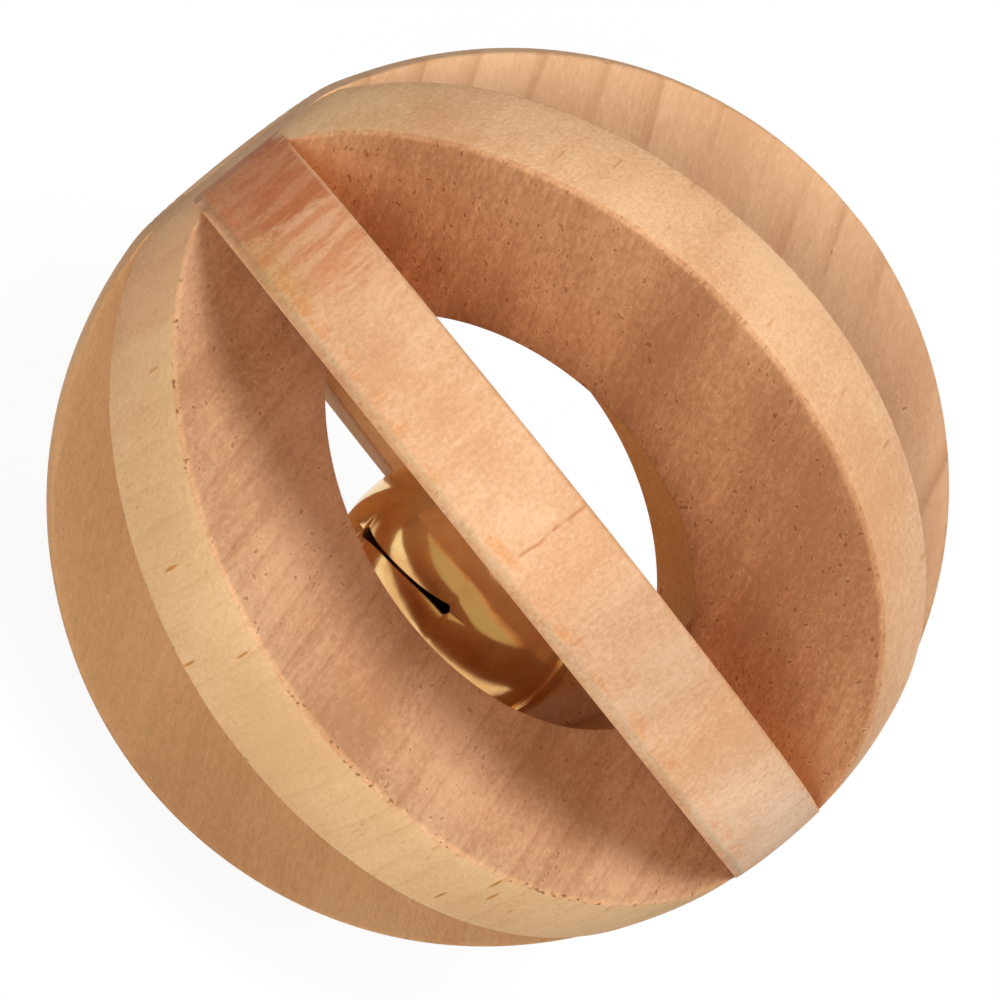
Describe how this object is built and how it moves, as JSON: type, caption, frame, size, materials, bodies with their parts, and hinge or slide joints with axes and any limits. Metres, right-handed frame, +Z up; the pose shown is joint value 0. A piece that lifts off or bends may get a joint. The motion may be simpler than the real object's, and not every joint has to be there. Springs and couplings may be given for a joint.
{
  "type": "wooden ball",
  "caption": "Ball of flat wooden rings set round a common axis, whose round holes form a cage for a loose jingle bell.",
  "frame": {"origin": "centre of the ball, where the common axis of the fins crosses the plane of their holes' centres", "axes": "+X along the common axis of the fins, +Z up with the ball lying on the rims of the ring and of the lower back fin, -Y to the front"},
  "size_m": [0.0564, 0.0573, 0.0576],
  "materials": {
    "wood": "bare sanded beech-like hardwood",
    "bell_metal": "bright gold plate",
    "pellet_steel": "plain"
  },
  "bodies": {
    "root": {"full_ring": "wood", "front_half_ring": "wood", "back_half_ring": "wood", "upper_front_fin": "wood", "upper_back_fin": "wood", "lower_back_fin": "wood", "lower_front_fin": "wood", "bell_slotted_shell": "bell_metal", "bell_plain_shell": "bell_metal", "bell_loop": "bell_metal", "bell_pellet": "pellet_steel"}
  },
  "joints": []
}
